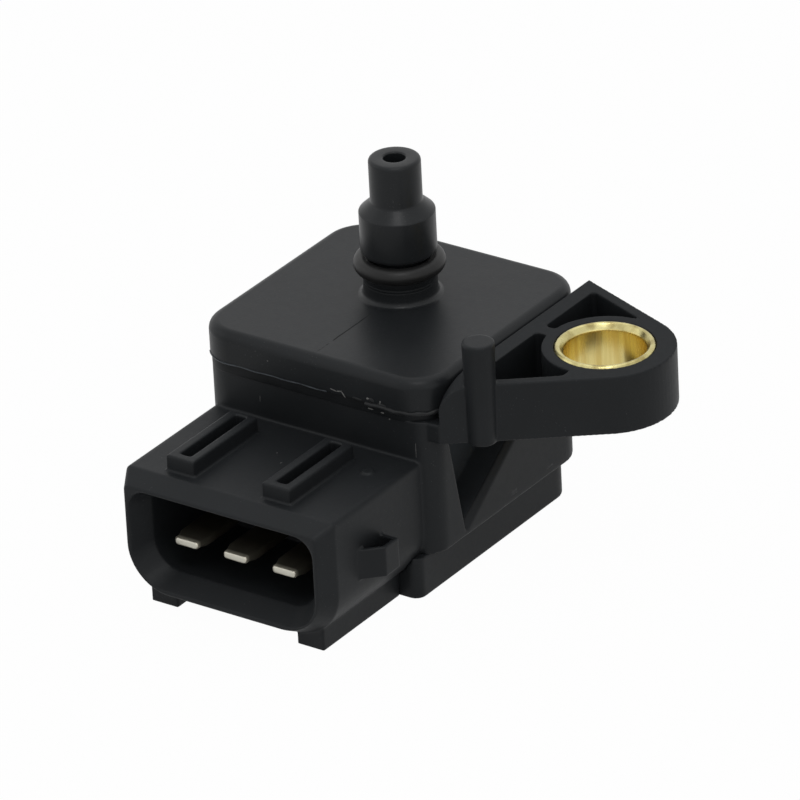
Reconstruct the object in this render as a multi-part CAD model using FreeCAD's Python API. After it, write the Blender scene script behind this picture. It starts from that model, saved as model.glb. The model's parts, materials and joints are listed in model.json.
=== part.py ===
"""Manifold absolute pressure sensor.

The origin is the axis of the flange bushing, on the flange's top face.
X runs to the right across the socket, Y towards the back, Z up along the nipple.
Lengths are millimetres.
"""
import FreeCAD, Part
import math
import os

V = FreeCAD.Vector
UP = V(0, 0, 1)

# Flange and its brass bushing
BORE_R = 3.5             # bolt hole
BUSH_WALL = 0.82
BUSH_R = BORE_R + BUSH_WALL
BUSH_STANDS = 0.12       # height of the bushing's rim above the flange
BUSH_RIM = 0.28          # slope round the bushing's outer rim
FLANGE_T = 5.3
RING_R = BUSH_R + 1.03   # plastic ring between the bushing and the two pockets
BOSS_R = RING_R + 0.7
WALL = 1.0               # thin walls of the flange
FLANGE_REACH = 7.83      # from the bushing axis to the face beside the lid
STRIP_W = 1.53           # solid strip of the flange beside the lid
STRIP_X0 = -FLANGE_REACH
STRIP_X1 = STRIP_X0 + STRIP_W
FRONT_ANGLE = 37.0       # front wall against X
BACK_ANGLE = -20.7       # back wall against X
POCKET_D = 4.3
POCKET_R = 0.35
RIB_W = 1.38             # rib between the two pockets
RIB_Y1 = 0.48
SHOULDER_R = 3.0
PAST = 4.0               # how far the shape that cuts the shoulder runs past the wall

# Lid
LID_W = 24.28
LID_D = 23.75
LID_H = 2.95
LID_TOP = 0.25
LID_CLEARANCE = 0.22     # between the lid and the flange
LID_R = 3.6
LID_FILLET = 0.9
LID_PLATE = 1.6          # thickness of the lid's flat top
LID_SKIRT = 2.0          # thickness of the lid's edge
LID_X1 = STRIP_X0 - LID_CLEARANCE
LID_X0 = LID_X1 - LID_W
LID_Y1 = 9.43
LID_Y0 = LID_Y1 - LID_D
LID_BOTTOM = LID_TOP - LID_H

# Middle lines of the socket and the nipple, from the lid's middle
SOCKET_SHIFT = -0.09
NIPPLE_SHIFT_X = -0.04
NIPPLE_SHIFT_Y = 1.775
SOCKET_X = (LID_X0 + LID_X1) / 2 + SOCKET_SHIFT
NIPPLE_X = (LID_X0 + LID_X1) / 2 + NIPPLE_SHIFT_X
NIPPLE_Y = (LID_Y0 + LID_Y1) / 2 + NIPPLE_SHIFT_Y

# Adhesive between the lid and the housing
BEAD_T = 0.83
BEAD_INSET = 0.2

# Housing
LID_OVERHANG_LEFT = 0.2
LID_OVERHANG_RIGHT = 0.3
LID_OVERHANG_FRONT = 0.37
LID_OVERHANG_BACK = 0.68
HOUSING_WALL = 2.2
BODY_X0 = LID_X0 + LID_OVERHANG_LEFT
BODY_X1 = LID_X1 - LID_OVERHANG_RIGHT
BODY_Y0 = LID_Y0 + LID_OVERHANG_FRONT
BODY_Y1 = LID_Y1 - LID_OVERHANG_BACK
BODY_TOP = LID_BOTTOM - BEAD_T
BODY_H = 12.47
BODY_BOTTOM = BODY_TOP - BODY_H
BODY_R = 3.0
CORNER_R = 2.0           # the corner below the flange

# Three-cornered hollow in the side wall below the flange
RECESS_FRONT = 2.4       # its upper corners from the housing's front and back
RECESS_BACK = 3.6
RECESS_LOW = 4.45        # its lowest corner from the housing's front
RECESS_FOOT = 0.35       # and above the housing's bottom edge
RECESS_SLOPE = 0.45      # sloped edge round its mouth
RECESS_DEEP = 3.0

# Room inside the housing, above and below its web
RECESS_WALL = 1.15       # wall left behind the hollow
ROOM_D = 4.67            # depth of the room above the web
ROOM_X0 = BODY_X0 + HOUSING_WALL
ROOM_X1 = BODY_X1 - RECESS_DEEP - RECESS_WALL
ROOM_Y0 = BODY_Y0 + HOUSING_WALL
ROOM_Y1 = BODY_Y1 - HOUSING_WALL
WEB_TOP = BODY_TOP - ROOM_D
WEB_T = 1.4
WEB_BOTTOM = WEB_TOP - WEB_T
RIM_GAP = 0.15           # clearance of the lid's and the base's rims in the room
RIM_WALL = 1.2

# Base cover
BASE_H = 3.78
BASE_INSET = 1.08
BASE_BACK_INSET = 0.85
BASE_FORWARD = 1.25      # how far it reaches under the socket
BASE_X0 = BODY_X0 + BASE_INSET
BASE_X1 = BODY_X1 - BASE_INSET
BASE_Y0 = BODY_Y0 - BASE_FORWARD
BASE_Y1 = BODY_Y1 - BASE_BACK_INSET
BASE_BOTTOM = BODY_BOTTOM - BASE_H
BASE_R = 2.2             # its back corners
BASE_FRONT_R = 0.95
BASE_PLATE = 1.4
BASE_RIM_H = 1.4
GROOVE_D = 0.6           # groove for the adhesive in the base cover
GROOVE_W = 0.95

# Socket
SOCKET_HALF = 10.64
SOCKET_DROP = 3.72       # its top below the housing's top
FOOT_H = 1.22            # its lowest face above the ground
SOCKET_TOP = BODY_TOP - SOCKET_DROP
SOCKET_BOTTOM = BASE_BOTTOM + FOOT_H
SOCKET_REACH = 12.37
SOCKET_FRONT = BODY_Y0 - SOCKET_REACH
NOSE_L = 1.75            # bevelled nose in front of the socket
MOUTH = SOCKET_FRONT - NOSE_L
BEVEL = 0.9
SOCKET_DEPTH = 11.07
SOCKET_END = MOUTH + SOCKET_DEPTH
TOP_R = 0.5
LOWER_R = 4.6
INNER_TOP_R = 1.8
INNER_LOWER_R = 3.0
SOCKET_RIM = 0.3         # width of the socket's front edge
LEAD_IN = 2.0
LEAD_SLOPE = 1.1
TOP_SLOPE = 0.3

# Keys, feet and latch ramps of the socket
KEY_W = 2.8
KEY_H = 1.43
KEY_L = 9.32
KEY_WALL = 0.85
KEY_SET_BACK = 0.85
KEY_OFFSETS = (-7.05, 2.75)
FOOT_OFFSET = 6.15
FOOT_W = 2.7
LATCH_OUT = 1.67
LATCH_L = 3.65
LATCH_SET_BACK = 2.95
LATCH_H = 2.75
LATCH_DROP = 3.9
LATCH_WALL = 0.4
MARK_X = 7.8             # round mark of the mould's pin on the socket's top
MARK_GAP = 3.45
MARK_R = 0.5

# Post that stands at the flange's front wall
POST_H = 9.3
POST_R = 1.4
POST_TOP_R = 1.25
POST_ROUND = 0.18
POST_X = STRIP_X0 + 2.65
POST_INSET = 0.49        # its axis inside the wall's face

# Nipple: foot, neck, groove, stage and tip, measured from the lid's top
PORT_R = 0.94
FLARE_R = 3.8            # the neck's foot flares out to the lid
FLARE_H = 0.7
NECK_R = 3.18
GROOVE_R = 2.47
STAGE_R = 3.27
TIP_R = 2.22
GROOVE_Z0 = LID_TOP + 2.2
RING_SECTION = 1.5
GROOVE_Z1 = GROOVE_Z0 + RING_SECTION
STAGE_H = 4.1
STAGE_Z1 = GROOVE_Z1 + STAGE_H
SHOULDER_H = 0.93
TIP_H = 3.95
TIP_TOP = STAGE_Z1 + SHOULDER_H + TIP_H
TIP_SLOPE = 0.14

# Sealing ring on the nipple
RING_MID_R = 3.2
RING_Z = (GROOVE_Z0 + GROOVE_Z1) / 2
RING_SIDES = 12

# Circuit board and what stands on it
TUBE_R0 = 3.4            # tube of the lid round the pressure cell
TUBE_WALL = 1.2
TUBE_R1 = TUBE_R0 + TUBE_WALL
BOARD_EDGE = 2.1         # board left outside the tube on each side
BOARD_T = 0.8
BOARD_SHIFT_X = -0.97    # its middle from the nipple's axis
BOARD_SHIFT_Y = -0.33
BOARD_HALF = TUBE_R1 + BOARD_EDGE
BOARD_X0 = NIPPLE_X + BOARD_SHIFT_X - BOARD_HALF
BOARD_X1 = NIPPLE_X + BOARD_SHIFT_X + BOARD_HALF
BOARD_Y0 = NIPPLE_Y + BOARD_SHIFT_Y - BOARD_HALF
BOARD_Y1 = NIPPLE_Y + BOARD_SHIFT_Y + BOARD_HALF
BOARD_TOP = WEB_TOP + BOARD_T
SEAL_T = 0.6
CHIP_W = 3.0
CHIP_H = 0.9
CHIP_IN_X = 0.45         # chips' edges inside the board's edges
CHIP_IN_Y = 1.4
CAP_L = 1.6
CAP_W = 0.8
CAP_IN = 0.4
RESISTOR_L = 2.0
RESISTOR_W = 1.2
RESISTOR_H = 0.5
RESISTOR_IN_X = 4.4
CELL_BASE_W = 3.4
CELL_BASE_H = 1.0
CELL_W = 2.2
CELL_H = 0.6
GEL_H = 2.2

# Terminals and the leads to the board
PITCH = 5.0
PIN_W = 2.8
PIN_T = 0.8
PIN_CLEARANCE = 0.85     # above the base cover's rim
PIN_SET_BACK = 1.85      # its tip behind the socket's mouth
PIN_Z = BODY_BOTTOM + BASE_RIM_H + PIN_CLEARANCE + PIN_T / 2
TIP_W = 2.4
TIP_T = 0.7
TIP_L = 1.3
TAIL_GAP = 1.5           # between the tail and the board
TAIL_STANDS = 0.6        # above the web
PIN_TIP = MOUTH + PIN_SET_BACK
PIN_END = BOARD_Y0 - TAIL_GAP
TAIL_W = 1.6
TAIL_TOP = WEB_TOP + TAIL_STANDS
LEAD_W = 0.8
LEAD_T = 0.2
LEAD_RISE = 0.9


def box(x0, x1, y0, y1, z0, z1):
    return Part.makeBox(x1 - x0, y1 - y0, z1 - z0, V(x0, y0, z0))


def block(x, y, z, w, d, h):
    """Box on a middle point of its floor."""
    return box(x - w / 2, x + w / 2, y - d / 2, y + d / 2, z, z + h)


def cylinder(x, y, z0, z1, r):
    return Part.makeCylinder(r, z1 - z0, V(x, y, z0), UP)


def tube(x, y, z0, z1, r_in, r_out):
    return cylinder(x, y, z0, z1, r_out).cut(cylinder(x, y, z0, z1, r_in))


def closed_wire(points):
    return Part.makePolygon(points + points[:1])


def prism(points, z0, z1):
    """Upright prism over a plan outline."""
    return Part.Face(closed_wire([V(x, y, z0) for x, y in points])).extrude(UP * (z1 - z0))


def revolved(points, x, y):
    """Solid turned about an upright axis, from radius and height pairs."""
    solid = Part.Face(closed_wire([V(r, 0, z) for r, z in points])).revolve(V(0, 0, 0), UP, 360)
    solid.translate(V(x, y, 0))
    return solid


def upright_edges(shape):
    def upright(edge):
        span = edge.BoundBox
        return span.XLength < 1e-5 and span.YLength < 1e-5 and span.ZLength > 0.1

    return [edge for edge in shape.Edges if upright(edge)]


def top_edges(shape, z):
    return [e for e in shape.Edges if abs(e.BoundBox.ZMin - z) < 1e-6 and abs(e.BoundBox.ZMax - z) < 1e-6]


def plate(x0, x1, y0, y1, z0, z1, r, front_left=None, front_right=None):
    """Upright block with rounded corners in plan; the two front ones may have radii of their own."""
    solid = box(x0, x1, y0, y1, z0, z1)
    corners = ((x0, y0, front_left), (x1, y0, front_right), (x0, y1, None), (x1, y1, None))
    for x, y, own in corners:
        corner = box(x - 0.01, x + 0.01, y - 0.01, y + 0.01, z0, z1)
        here = [e for e in upright_edges(solid) if corner.isInside(e.CenterOfMass, 1e-6, True)]
        solid = solid.makeFillet(own or r, here)
    return solid


def socket_wire(y, inset, r_top, r_lower, lower_inset=0.0, top_inset=0.0):
    """Outline of the socket in an upright plane, drawn in from its outer faces."""
    x0 = SOCKET_X - SOCKET_HALF + inset + lower_inset
    x1 = SOCKET_X + SOCKET_HALF - inset - lower_inset
    top = SOCKET_TOP - inset - top_inset
    bottom = SOCKET_BOTTOM + inset + lower_inset
    s = math.sqrt(0.5)

    def arc(cx, cz, r, a, b, c):
        return Part.Arc(*[V(cx + r * u, y, cz + r * w) for u, w in (a, b, c)]).toShape()

    def line(ax, az, bx, bz):
        return Part.makeLine(V(ax, y, az), V(bx, y, bz))

    edges = [
        line(x0 + r_top, top, x1 - r_top, top),
        arc(x1 - r_top, top - r_top, r_top, (0, 1), (s, s), (1, 0)),
        line(x1, top - r_top, x1, bottom + r_lower),
        arc(x1 - r_lower, bottom + r_lower, r_lower, (1, 0), (s, -s), (0, -1)),
        line(x1 - r_lower, bottom, x0 + r_lower, bottom),
        arc(x0 + r_lower, bottom + r_lower, r_lower, (0, -1), (-s, -s), (-1, 0)),
        line(x0, bottom + r_lower, x0, top - r_top),
        arc(x0 + r_top, top - r_top, r_top, (-1, 0), (-s, s), (0, 1)),
    ]
    return Part.Wire(edges)


def socket_outside(y_end):
    """Outer body of the socket with its bevelled nose."""
    outer = socket_wire(SOCKET_FRONT, 0, TOP_R, LOWER_R)
    mouth = socket_wire(MOUTH, BEVEL, TOP_R, LOWER_R - 0.6)
    body = Part.Face(outer).extrude(V(0, y_end - SOCKET_FRONT, 0))
    return body.fuse(Part.makeLoft([mouth, outer], True, True))


def socket_inside():
    """Room for the plug: a lead-in at the mouth, then straight walls."""
    edge = BEVEL + SOCKET_RIM
    mouth = socket_wire(MOUTH - 0.01, edge, INNER_TOP_R, INNER_LOWER_R)
    throat = socket_wire(MOUTH + LEAD_IN, edge, INNER_TOP_R - 0.4, INNER_LOWER_R - 0.4,
                         LEAD_SLOPE, TOP_SLOPE)
    room = Part.Face(throat).extrude(V(0, SOCKET_DEPTH - LEAD_IN, 0))
    return Part.makeLoft([mouth, throat], True, True).fuse(room)


def socket_feet():
    """The two rails below the socket."""
    feet = []
    for side in (-1, 1):
        x0, x1 = sorted(SOCKET_X + side * offset for offset in (FOOT_OFFSET, FOOT_OFFSET + FOOT_W))
        feet.append(box(x0, x1, SOCKET_FRONT, BASE_Y0, BASE_BOTTOM, SOCKET_BOTTOM + LOWER_R / 2))
    return feet


def socket_keys():
    """Two keying ribs on top of the socket, each with a slot in its top."""
    keys = []
    y0 = SOCKET_FRONT + KEY_SET_BACK
    y1 = y0 + KEY_L
    for offset in KEY_OFFSETS:
        x0 = SOCKET_X + offset
        x1 = x0 + KEY_W
        rib = box(x0, x1, y0, y1, SOCKET_TOP - 0.2, SOCKET_TOP + KEY_H)
        slot = box(x0 + KEY_WALL, x1 - KEY_WALL, y0 + KEY_WALL, y1 - KEY_WALL / 2, SOCKET_TOP + 0.05,
                   SOCKET_TOP + 2 * KEY_H)
        keys.append(rib.cut(slot))
    return keys


def latch_ramps():
    """A hollow ramp on each side of the socket for the plug's latch."""
    ramps = []
    y0 = SOCKET_FRONT + LATCH_SET_BACK
    z1 = SOCKET_TOP - LATCH_DROP
    z0 = z1 - LATCH_H
    sunk = -0.2
    for side in (-1, 1):
        wall = SOCKET_X + side * SOCKET_HALF

        def outline(start, out, end, foot):
            pairs = [(foot, start), (0, start), (out, start + out), (out, end), (foot, end)]
            return [(wall + side * x, y0 + y) for x, y in pairs]

        ramp = prism(outline(0, LATCH_OUT, LATCH_L, sunk), z0, z1)
        hollow = prism(outline(LATCH_WALL * 1.5, LATCH_OUT - LATCH_WALL, LATCH_L - LATCH_WALL, 0)[1:],
                       z0 + LATCH_WALL, z1 + 1)
        ramps.append(ramp.cut(hollow))
    return ramps


def wall_normal(angle):
    """Plan direction that points out of a flange wall with this slope."""
    a = math.radians(angle)
    side = math.copysign(1, angle)
    return side * math.sin(a), -side * math.cos(a)


def wall_y(angle, distance, x):
    """Y of a flange wall at X; the wall passes the bushing axis at the given distance."""
    nx, ny = wall_normal(angle)
    return (distance - nx * x) / ny


def flange_block(x_inner, z0, z1, inset=0.0):
    """Plan of the flange: two straight walls that run on to the round boss."""
    d = BOSS_R - inset
    touch = [(nx * d, ny * d) for nx, ny in map(wall_normal, (FRONT_ANGLE, BACK_ANGLE))]
    front = (x_inner, wall_y(FRONT_ANGLE, d, x_inner))
    back = (x_inner, wall_y(BACK_ANGLE, d, x_inner))
    return prism([front, touch[0], (0, 0), touch[1], back], z0, z1).fuse(cylinder(0, 0, z0, z1, d))


def front_shoulder():
    """What is cut away to round the upper front end of the flange's front wall."""
    a = math.radians(FRONT_ANGLE)
    along = V(math.cos(a), math.sin(a), 0)
    out = V(math.sin(a), -math.cos(a), 0)
    start = V(STRIP_X0, wall_y(FRONT_ANGLE, BOSS_R, STRIP_X0), 0)
    centre = start + along * (SHOULDER_R - 0.1) - UP * SHOULDER_R
    reach = SHOULDER_R + PAST
    corner = Part.makeBox(reach, 3 * PAST, reach, V(0, 0, 0))
    corner.Placement = FreeCAD.Placement(centre - along * reach + out * PAST,
                                         FreeCAD.Rotation(along, -1 * out, UP, "ZXY"))
    return corner.cut(Part.makeCylinder(SHOULDER_R, 3 * PAST, centre + out * PAST, -1 * out))


def flange_pockets():
    """Two three-cornered pockets in the flange, one each side of the rib."""
    room = flange_block(STRIP_X1, -POCKET_D, 1, WALL)
    room = room.cut(cylinder(0, 0, -FLANGE_T, 2, RING_R))
    room = room.cut(box(STRIP_X0, 0, RIB_Y1 - RIB_W, RIB_Y1, -FLANGE_T, 2))
    room = room.cut(box(0, 2 * BOSS_R, -2 * BOSS_R, 2 * BOSS_R, -FLANGE_T, 2))

    def is_free(edge):
        return edge.CenterOfMass.x < STRIP_X1 + 0.01

    pockets = [solid for solid in room.Solids if solid.Volume > 1]
    return [p.makeFillet(POCKET_R, [e for e in upright_edges(p) if is_free(e)]) for p in pockets]


def side_recess():
    """Three-cornered hollow in the side wall, with a sloped edge round its mouth."""
    top = -FLANGE_T - 0.05
    y0 = BODY_Y0 + RECESS_FRONT
    y1 = BODY_Y1 - RECESS_BACK
    low_y = BODY_Y0 + RECESS_LOW
    low_z = BODY_BOTTOM + RECESS_FOOT
    mouth = [(y0, top), (y1, top), (low_y, low_z)]
    inner = [(y0 + 0.25, top), (y1 - 0.8, top), (low_y - 0.1, low_z + 0.65)]

    def outline(points, depth):
        return closed_wire([V(BODY_X1 - depth, y, z) for y, z in points])

    slope = Part.makeLoft([outline(mouth, 0), outline(inner, RECESS_SLOPE)], True, True)
    deep = Part.Face(outline(inner, RECESS_DEEP)).extrude(V(RECESS_DEEP - RECESS_SLOPE, 0, 0))
    return slope.fuse(deep)


def locating_post():
    foot = V(POST_X, wall_y(FRONT_ANGLE, BOSS_R, POST_X) + POST_INSET, -FLANGE_T - 0.05)
    post = Part.makeCone(POST_TOP_R, POST_R, POST_H, foot, UP)
    return post.makeFillet(POST_ROUND, top_edges(post, foot.z + POST_H))


def make_terminal(x):
    """Flat blade with a thinned tip, which turns up through the web of the housing."""
    def section(y, w, t):
        corners = ((-w, -t), (w, -t), (w, t), (-w, t))
        return closed_wire([V(x + u / 2, y, PIN_Z + v / 2) for u, v in corners])

    full = section(PIN_TIP + TIP_L, PIN_W, PIN_T)
    blade = Part.Face(full).extrude(V(0, PIN_END - PIN_TIP - TIP_L, 0))
    front = section(PIN_TIP, TIP_W, TIP_T)
    tip = Part.makeLoft([front, section(PIN_TIP + TIP_L * 0.4, TIP_W, TIP_T), full], True, True)
    tail = box(x - TAIL_W / 2, x + TAIL_W / 2, PIN_END - PIN_T, PIN_END, PIN_Z, TAIL_TOP)
    return blade.fuse(tip).fuse(tail).removeSplitter()


def make_lead(x):
    """Arched ribbon from the terminal's tail to the board."""
    y0 = PIN_END - LEAD_T * 3
    y1 = BOARD_Y0 + LEAD_T * 4
    top = TAIL_TOP + LEAD_RISE
    arch = box(x - LEAD_W / 2, x + LEAD_W / 2, y0, y1, BOARD_TOP, top)
    arch = arch.cut(box(x - LEAD_W, x + LEAD_W, y0 - 1, y0 + LEAD_T, BOARD_TOP - 1, TAIL_TOP))
    return arch.cut(box(x - LEAD_W, x + LEAD_W, y0 + LEAD_T, y1 - LEAD_T, BOARD_TOP - 1, top - LEAD_T))


def make_housing(terminals):
    body = plate(BODY_X0, BODY_X1, BODY_Y0, BODY_Y1, BODY_BOTTOM, BODY_TOP, BODY_R,
                 front_right=CORNER_R)
    body = body.fuse(socket_outside(BODY_Y0 + HOUSING_WALL))
    body = body.fuse(flange_block(STRIP_X0, -FLANGE_T, 0).cut(front_shoulder()))
    root_y0 = wall_y(FRONT_ANGLE, BOSS_R, STRIP_X0)
    body = body.fuse(box(BODY_X1 - 1.25, STRIP_X0, root_y0, BODY_Y1 - 1.15, -FLANGE_T, BODY_TOP))
    for piece in socket_feet() + socket_keys() + latch_ramps() + [locating_post()]:
        body = body.fuse(piece)
    mark_y = BODY_Y0 - MARK_GAP
    body = body.fuse(cylinder(SOCKET_X + MARK_X, mark_y, SOCKET_TOP - 0.1, SOCKET_TOP + 0.15, MARK_R))
    body = body.cut(box(BODY_X0, BODY_X1, BODY_Y0, BODY_Y1, BASE_BOTTOM, BODY_BOTTOM))
    body = body.cut(socket_inside())
    body = body.cut(box(ROOM_X0, ROOM_X1, ROOM_Y0, ROOM_Y1, WEB_TOP, BODY_TOP + 1))
    body = body.cut(box(ROOM_X0, ROOM_X1, ROOM_Y0, ROOM_Y1, BODY_BOTTOM - 1, WEB_BOTTOM))
    for hollow in flange_pockets() + [side_recess(), cylinder(0, 0, -FLANGE_T - 1, 1, BUSH_R)] + terminals:
        body = body.cut(hollow)
    return body.removeSplitter()


def make_nipple():
    """Foot, neck, groove, stage and tip, turned about one axis."""
    top_r = TIP_R - TIP_SLOPE
    points = [
        (0, LID_TOP - 0.5), (FLARE_R, LID_TOP - 0.5), (FLARE_R, LID_TOP), (FLARE_R - 0.35, LID_TOP + 0.2),
        (NECK_R, LID_TOP + FLARE_H), (NECK_R, GROOVE_Z0), (GROOVE_R, GROOVE_Z0), (GROOVE_R, GROOVE_Z1),
        (STAGE_R, GROOVE_Z1), (STAGE_R, STAGE_Z1),
        (TIP_R, STAGE_Z1 + SHOULDER_H), (TIP_R, TIP_TOP - TIP_SLOPE), (top_r, TIP_TOP), (0, TIP_TOP),
    ]
    return revolved(points, NIPPLE_X, NIPPLE_Y)


def room_box(gap, z0, z1):
    """Box that stands in the housing's room with a gap all round."""
    return box(ROOM_X0 + gap, ROOM_X1 - gap, ROOM_Y0 + gap, ROOM_Y1 - gap, z0, z1)


def make_lid():
    lid = plate(LID_X0, LID_X1, LID_Y0, LID_Y1, LID_BOTTOM, LID_TOP, LID_R)
    lid = lid.makeFillet(LID_FILLET, top_edges(lid, LID_TOP))
    under = LID_TOP - LID_PLATE
    lid = lid.cut(plate(LID_X0 + LID_SKIRT, LID_X1 - LID_SKIRT, LID_Y0 + LID_SKIRT, LID_Y1 - LID_SKIRT,
                        LID_BOTTOM - 1, under, LID_R - LID_SKIRT))
    rim = room_box(RIM_GAP, BODY_TOP - 1.5, under)
    lid = lid.fuse(rim.cut(room_box(RIM_GAP + RIM_WALL, BODY_TOP - 3, LID_TOP)))
    lid = lid.fuse(tube(NIPPLE_X, NIPPLE_Y, BOARD_TOP + SEAL_T, under + 0.2, TUBE_R0, TUBE_R1))
    lid = lid.fuse(make_nipple())
    return lid.cut(cylinder(NIPPLE_X, NIPPLE_Y, under - 1, TIP_TOP + 1, PORT_R)).removeSplitter()


def base_bead():
    """Adhesive in the groove round the top of the base cover."""
    ring = room_box(-GROOVE_W, BODY_BOTTOM - GROOVE_D, BODY_BOTTOM)
    return ring.cut(room_box(0, BASE_BOTTOM, BODY_BOTTOM))


def make_base_cover():
    cover = plate(BASE_X0, BASE_X1, BASE_Y0, BASE_Y1, BASE_BOTTOM, BODY_BOTTOM, BASE_R,
                  BASE_FRONT_R, BASE_FRONT_R)
    cover = cover.cut(socket_outside(BODY_Y0))
    cover = cover.fuse(room_box(RIM_GAP, BODY_BOTTOM - 0.5, BODY_BOTTOM + BASE_RIM_H))
    cover = cover.cut(room_box(RIM_GAP + RIM_WALL, BASE_BOTTOM + BASE_PLATE, BODY_BOTTOM + 3))
    return cover.cut(base_bead()).removeSplitter()


def top_bead():
    """Adhesive between the housing's top edge and the lid."""
    bead = plate(BODY_X0 + BEAD_INSET, BODY_X1 - BEAD_INSET, BODY_Y0 + BEAD_INSET, BODY_Y1 - BEAD_INSET,
                 BODY_TOP, LID_BOTTOM, BODY_R)
    inner = LID_SKIRT - BEAD_INSET
    return bead.cut(plate(LID_X0 + inner, LID_X1 - inner, LID_Y0 + inner, LID_Y1 - inner,
                          BODY_TOP - 1, LID_BOTTOM + 1, LID_R - LID_SKIRT))


def make_bushing():
    """Brass tube with a sloped rim and a small notch at the back of the rim."""
    slope = BUSH_STANDS
    points = [
        (BORE_R, -FLANGE_T), (BUSH_R, -FLANGE_T), (BUSH_R, BUSH_STANDS - BUSH_RIM),
        (BUSH_R - BUSH_RIM, BUSH_STANDS), (BORE_R + slope, BUSH_STANDS), (BORE_R, BUSH_STANDS - slope),
    ]
    return revolved(points, 0, 0).cut(box(-0.22, 0.22, BORE_R - 0.6, BORE_R + 0.45, -0.35, 1))


def make_o_ring():
    """Round section with flat sides, cut where it sits on the neck of the nipple."""
    r = RING_SECTION / 2
    turns = [math.pi / RING_SIDES * (2 * i + 1) for i in range(RING_SIDES)]
    reach = r / math.cos(math.pi / RING_SIDES)
    ring = revolved([(RING_MID_R + reach * math.cos(t), RING_Z + reach * math.sin(t)) for t in turns],
                    NIPPLE_X, NIPPLE_Y)
    return ring.cut(cylinder(NIPPLE_X, NIPPLE_Y, GROOVE_Z0 - 1, GROOVE_Z1 + 1, GROOVE_R))


parts = {}
for side, step in (("left", -1), ("centre", 0), ("right", 1)):
    parts["terminal_" + side] = make_terminal(SOCKET_X + step * PITCH)
    parts["lead_" + side] = make_lead(SOCKET_X + step * PITCH)
parts["housing"] = make_housing([parts["terminal_" + side] for side in ("left", "centre", "right")])
parts["top_cover"] = make_lid()
parts["base_cover"] = make_base_cover()
parts["top_adhesive"] = top_bead()
parts["base_adhesive"] = base_bead()
parts["nipple_o_ring"] = make_o_ring()
parts["flange_bushing"] = make_bushing()
parts["circuit_board"] = box(BOARD_X0, BOARD_X1, BOARD_Y0, BOARD_Y1, WEB_TOP, BOARD_TOP)
parts["port_seal"] = tube(NIPPLE_X, NIPPLE_Y, BOARD_TOP, BOARD_TOP + SEAL_T, TUBE_R0, TUBE_R1)
parts["cell_base"] = block(NIPPLE_X, NIPPLE_Y, BOARD_TOP, CELL_BASE_W, CELL_BASE_W, CELL_BASE_H)
parts["pressure_cell"] = block(NIPPLE_X, NIPPLE_Y, BOARD_TOP + CELL_BASE_H, CELL_W, CELL_W, CELL_H)
gel = cylinder(NIPPLE_X, NIPPLE_Y, BOARD_TOP, BOARD_TOP + GEL_H, TUBE_R0)
parts["cell_gel"] = gel.cut(parts["cell_base"]).cut(parts["pressure_cell"])
parts["signal_chip"] = block(BOARD_X0 + CHIP_IN_X + CHIP_W / 2, BOARD_Y0 + CHIP_IN_Y + CHIP_W / 2, BOARD_TOP,
                             CHIP_W, CHIP_W, CHIP_H)
cap_left = BOARD_X0 + CAP_IN + CAP_L / 2
cap_right = BOARD_X1 - CAP_IN - CAP_L / 2
cap_front = BOARD_Y0 + CHIP_IN_Y + CAP_W / 2
cap_back = BOARD_Y1 - CAP_IN - CAP_W / 2
for name, x, y in (("a", cap_right, cap_front), ("b", cap_right, cap_back), ("c", cap_left, cap_back)):
    parts["capacitor_" + name] = block(x, y, BOARD_TOP, CAP_L, CAP_W, CAP_W)
parts["trim_resistor"] = block(BOARD_X0 + RESISTOR_IN_X, BOARD_Y1 - CAP_IN - RESISTOR_W / 2, BOARD_TOP,
                               RESISTOR_L, RESISTOR_W, RESISTOR_H)

os.makedirs("parts", exist_ok=True)
for name in sorted(parts):
    solids = parts[name].Solids
    solids[0].exportStep("parts/" + name + ".step")
    print(name, "solids", len(solids), "volume", round(solids[0].Volume, 2), "valid", solids[0].isValid())
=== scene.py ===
"""Manifold absolute pressure sensor in the photograph's view.

The frame is the CAD frame in metres: Z up, X to the right across the plug socket, Y to the back.
Sizes are written in millimetres and turned into metres by mm().
"""
import json
import math

import bmesh
import bpy
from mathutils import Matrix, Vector


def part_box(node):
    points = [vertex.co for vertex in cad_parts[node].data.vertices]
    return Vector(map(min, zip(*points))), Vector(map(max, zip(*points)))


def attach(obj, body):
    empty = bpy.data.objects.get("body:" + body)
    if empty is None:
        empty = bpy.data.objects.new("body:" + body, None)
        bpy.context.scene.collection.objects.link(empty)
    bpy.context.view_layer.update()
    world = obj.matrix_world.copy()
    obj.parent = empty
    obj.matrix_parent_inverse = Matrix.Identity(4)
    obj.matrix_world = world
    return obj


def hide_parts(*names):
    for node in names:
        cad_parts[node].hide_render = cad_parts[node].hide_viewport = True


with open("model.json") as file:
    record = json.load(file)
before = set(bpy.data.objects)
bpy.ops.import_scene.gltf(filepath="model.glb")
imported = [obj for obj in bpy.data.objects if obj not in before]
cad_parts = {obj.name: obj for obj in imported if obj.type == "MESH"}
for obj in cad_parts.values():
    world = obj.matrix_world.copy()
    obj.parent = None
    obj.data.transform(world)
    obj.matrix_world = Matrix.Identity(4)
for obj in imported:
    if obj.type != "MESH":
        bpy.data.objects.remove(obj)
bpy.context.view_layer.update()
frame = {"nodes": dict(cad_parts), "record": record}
nodes = frame["nodes"]
scene = bpy.context.scene

MM = 0.001


def mm(*values):
    """Millimetres to metres, as one number or as a vector."""
    scaled = [v * MM for v in values]
    return scaled[0] if len(scaled) == 1 else Vector(scaled)


def middle(node):
    low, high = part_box(node)
    return (low + high) / 2


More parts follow.
